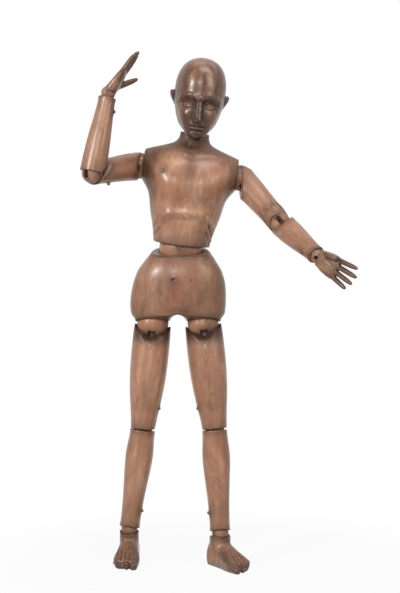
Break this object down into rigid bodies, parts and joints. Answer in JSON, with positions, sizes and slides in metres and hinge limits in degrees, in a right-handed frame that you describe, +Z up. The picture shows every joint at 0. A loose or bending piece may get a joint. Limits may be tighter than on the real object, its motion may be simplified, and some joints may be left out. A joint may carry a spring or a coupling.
{
  "type": "artist lay figure",
  "caption": "Carved wooden lay figure of a standing person, with limbs, waist, neck, hands and feet that swivel and hinge on slotted wooden balls.",
  "frame": {"origin": "on the floor under the middle of the figure's outer box, in the pictured pose", "axes": "+Z up, -Y the way the figure faces, +X to the figure's left"},
  "size_m": [0.3506, 0.2475, 0.6994],
  "materials": {
    "carved_wood": "satin wax over dark-stained fruitwood",
    "head_wood": "polished dark fruitwood",
    "ball_wood": "worn turned fruitwood",
    "peg_wood": "dark hardwood dowel"
  },
  "bodies": {
    "pelvis": {"pelvis": "carved_wood", "pelvis_pegs": "peg_wood"},
    "waist_ball": {"waist_ball": "ball_wood", "waist_pin": "peg_wood"},
    "torso": {"torso": "carved_wood", "torso_pegs": "peg_wood"},
    "neck_ball": {"neck_ball": "ball_wood", "neck_pin": "peg_wood"},
    "head": {"head": "head_wood"},
    "left_shoulder_ball": {"left_shoulder_ball": "ball_wood", "left_shoulder_pin": "peg_wood"},
    "left_upper_arm": {"left_upper_arm": "carved_wood", "left_upper_arm_tongue": "ball_wood", "left_upper_arm_peg": "peg_wood"},
    "left_elbow_ball": {"left_elbow_ball": "ball_wood", "left_elbow_pin": "peg_wood"},
    "left_forearm": {"left_forearm": "carved_wood", "left_forearm_peg": "peg_wood"},
    "left_wrist_ball": {"left_wrist_ball": "ball_wood", "left_wrist_pin": "peg_wood"},
    "left_hand": {"left_hand": "carved_wood"},
    "left_hip_ball": {"left_hip_ball": "ball_wood", "left_hip_pin": "peg_wood"},
    "left_thigh": {"left_thigh": "carved_wood", "left_thigh_tongue": "ball_wood", "left_thigh_peg": "peg_wood"},
    "left_knee_ball": {"left_knee_ball": "ball_wood", "left_knee_pin": "peg_wood"},
    "left_shin": {"left_shin": "carved_wood", "left_shin_tongue": "ball_wood", "left_shin_peg": "peg_wood"},
    "left_ankle_ball": {"left_ankle_ball": "ball_wood", "left_ankle_pin": "peg_wood"},
    "left_foot": {"left_foot": "carved_wood"},
    "right_shoulder_ball": {"right_shoulder_ball": "ball_wood", "right_shoulder_pin": "peg_wood"},
    "right_upper_arm": {"right_upper_arm": "carved_wood", "right_upper_arm_tongue": "ball_wood", "right_upper_arm_peg": "peg_wood"},
    "right_elbow_ball": {"right_elbow_ball": "ball_wood", "right_elbow_pin": "peg_wood"},
    "right_forearm": {"right_forearm": "carved_wood", "right_forearm_peg": "peg_wood"},
    "right_wrist_ball": {"right_wrist_ball": "ball_wood", "right_wrist_pin": "peg_wood"},
    "right_hand": {"right_hand": "carved_wood"},
    "right_hip_ball": {"right_hip_ball": "ball_wood", "right_hip_pin": "peg_wood"},
    "right_thigh": {"right_thigh": "carved_wood", "right_thigh_tongue": "ball_wood", "right_thigh_peg": "peg_wood"},
    "right_knee_ball": {"right_knee_ball": "ball_wood", "right_knee_pin": "peg_wood"},
    "right_shin": {"right_shin": "carved_wood", "right_shin_tongue": "ball_wood", "right_shin_peg": "peg_wood"},
    "right_ankle_ball": {"right_ankle_ball": "ball_wood", "right_ankle_pin": "peg_wood"},
    "right_foot": {"right_foot": "carved_wood"}
  },
  "joints": [
    {"name": "waist_turn", "type": "hinge", "parent": "pelvis", "child": "waist_ball", "pos_m": [-0.0441, 0.07216, 0.43653], "axis": [0, 0, -1], "range_deg": [-20, 20]},
    {"name": "waist_lean", "type": "hinge", "parent": "waist_ball", "child": "torso", "pos_m": [-0.0441, 0.07216, 0.43653], "axis": [0, 1, 0], "range_deg": [-14, 1]},
    {"name": "neck_turn", "type": "hinge", "parent": "torso", "child": "neck_ball", "pos_m": [-0.02362, 0.07216, 0.60328], "axis": [-0.1219, 0, -0.9925], "range_deg": [-50, 50]},
    {"name": "neck_nod", "type": "hinge", "parent": "neck_ball", "child": "head", "pos_m": [-0.02362, 0.07216, 0.60328], "axis": [0.9912, 0.0523, -0.1217], "range_deg": [-20, 4]},
    {"name": "left_shoulder_swing", "type": "hinge", "parent": "torso", "child": "left_shoulder_ball", "pos_m": [0.03842, 0.07216, 0.5342], "axis": [-0.9925, 0, 0.1219], "range_deg": [-60, 60]},
    {"name": "left_shoulder_raise", "type": "hinge", "parent": "left_shoulder_ball", "child": "left_upper_arm", "pos_m": [0.03842, 0.07216, 0.5342], "axis": [0.0837, -0.7269, 0.6816], "range_deg": [-8, 32]},
    {"name": "left_elbow_twist", "type": "hinge", "parent": "left_upper_arm", "child": "left_elbow_ball", "pos_m": [0.09156, 0.01434, 0.46601], "axis": [0.5109, -0.556, -0.6557], "range_deg": [-30, 30]},
    {"name": "left_elbow_bend", "type": "hinge", "parent": "left_elbow_ball", "child": "left_forearm", "pos_m": [0.09156, 0.01434, 0.46601], "axis": [-0.8106, -0.0576, -0.5828], "range_deg": [-21, 91]},
    {"name": "left_wrist_twist", "type": "hinge", "parent": "left_forearm", "child": "left_wrist_ball", "pos_m": [0.13161, -0.073, 0.41893], "axis": [0.3743, -0.8162, -0.44], "range_deg": [-45, 45]},
    {"name": "left_wrist_bend", "type": "hinge", "parent": "left_wrist_ball", "child": "left_hand", "pos_m": [0.13161, -0.073, 0.41893], "axis": [-0.3199, 0.3316, -0.8875], "range_deg": [-20.97, 54.03]},
    {"name": "left_hip_turn", "type": "hinge", "parent": "pelvis", "child": "left_hip_ball", "pos_m": [-0.0131, 0.07216, 0.33153], "axis": [0.1085, -0.0814, -0.9908], "range_deg": [-15, 15]},
    {"name": "left_hip_swing", "type": "hinge", "parent": "left_hip_ball", "child": "left_thigh", "pos_m": [-0.0131, 0.07216, 0.33153], "axis": [-0.9941, 0, -0.1088], "range_deg": [-12, 38]},
    {"name": "left_knee_twist", "type": "hinge", "parent": "left_thigh", "child": "left_knee_ball", "pos_m": [0.00291, 0.06016, 0.18539], "axis": [0.1085, -0.0814, -0.9908], "range_deg": [-15, 15]},
    {"name": "left_knee_bend", "type": "hinge", "parent": "left_knee_ball", "child": "left_shin", "pos_m": [0.00291, 0.06016, 0.18539], "axis": [0.9986, 0, 0.0533], "range_deg": [0, 105]},
    {"name": "left_ankle_turn", "type": "hinge", "parent": "left_shin", "child": "left_ankle_ball", "pos_m": [0.0104, 0.04945, 0.045], "axis": [0.0532, -0.0759, -0.9957], "range_deg": [-15, 15]},
    {"name": "left_ankle_pitch", "type": "hinge", "parent": "left_ankle_ball", "child": "left_foot", "pos_m": [0.0104, 0.04945, 0.045], "axis": [-0.809, -0.5878, 0], "range_deg": [-18, 22]},
    {"name": "right_shoulder_swing", "type": "hinge", "parent": "torso", "child": "right_shoulder_ball", "pos_m": [-0.10053, 0.07216, 0.55126], "axis": [-0.9925, 0, 0.1219], "range_deg": [-60, 60]},
    {"name": "right_shoulder_raise", "type": "hinge", "parent": "right_shoulder_ball", "child": "right_upper_arm", "pos_m": [-0.10053, 0.07216, 0.55126], "axis": [-0.1162, 0.3013, -0.9464], "range_deg": [-8, 32]},
    {"name": "right_elbow_twist", "type": "hinge", "parent": "right_upper_arm", "child": "right_elbow_ball", "pos_m": [-0.15926, -0.01145, 0.53185], "axis": [0.5647, 0.8039, 0.1866], "range_deg": [-30, 30]},
    {"name": "right_elbow_bend", "type": "hinge", "parent": "right_elbow_ball", "child": "right_forearm", "pos_m": [-0.15926, -0.01145, 0.53185], "axis": [-0.8247, 0.541, 0.1649], "range_deg": [-107.08, 4.92]},
    {"name": "right_wrist_twist", "type": "hinge", "parent": "right_forearm", "child": "right_wrist_ball", "pos_m": [-0.13828, -0.01145, 0.63678], "axis": [-0.1961, 0, -0.9806], "range_deg": [-45, 45]},
    {"name": "right_wrist_bend", "type": "hinge", "parent": "right_wrist_ball", "child": "right_hand", "pos_m": [-0.13828, -0.01145, 0.63678], "axis": [0, 1, 0], "range_deg": [-59.6, 15.4]},
    {"name": "right_hip_turn", "type": "hinge", "parent": "pelvis", "child": "right_hip_ball", "pos_m": [-0.0831, 0.07216, 0.33153], "axis": [0.0949, -0.0068, 0.9955], "range_deg": [-15, 15]},
    {"name": "right_hip_swing", "type": "hinge", "parent": "right_hip_ball", "child": "right_thigh", "pos_m": [-0.0831, 0.07216, 0.33153], "axis": [-0.9955, 0, 0.0949], "range_deg": [-12, 38]},
    {"name": "right_knee_twist", "type": "hinge", "parent": "right_thigh", "child": "right_knee_ball", "pos_m": [-0.0971, 0.07316, 0.1847], "axis": [0.0949, -0.0068, 0.9955], "range_deg": [-15, 15]},
    {"name": "right_knee_bend", "type": "hinge", "parent": "right_knee_ball", "child": "right_shin", "pos_m": [-0.0971, 0.07316, 0.1847], "axis": [0.9909, 0, -0.1348], "range_deg": [0, 105]},
    {"name": "right_ankle_turn", "type": "hinge", "parent": "right_shin", "child": "right_ankle_ball", "pos_m": [-0.1161, 0.07516, 0.045], "axis": [0.1348, -0.0142, 0.9908], "range_deg": [-15, 15]},
    {"name": "right_ankle_pitch", "type": "hinge", "parent": "right_ankle_ball", "child": "right_foot", "pos_m": [-0.1161, 0.07516, 0.045], "axis": [-0.9994, 0.0349, 0], "range_deg": [-18, 22]}
  ]
}
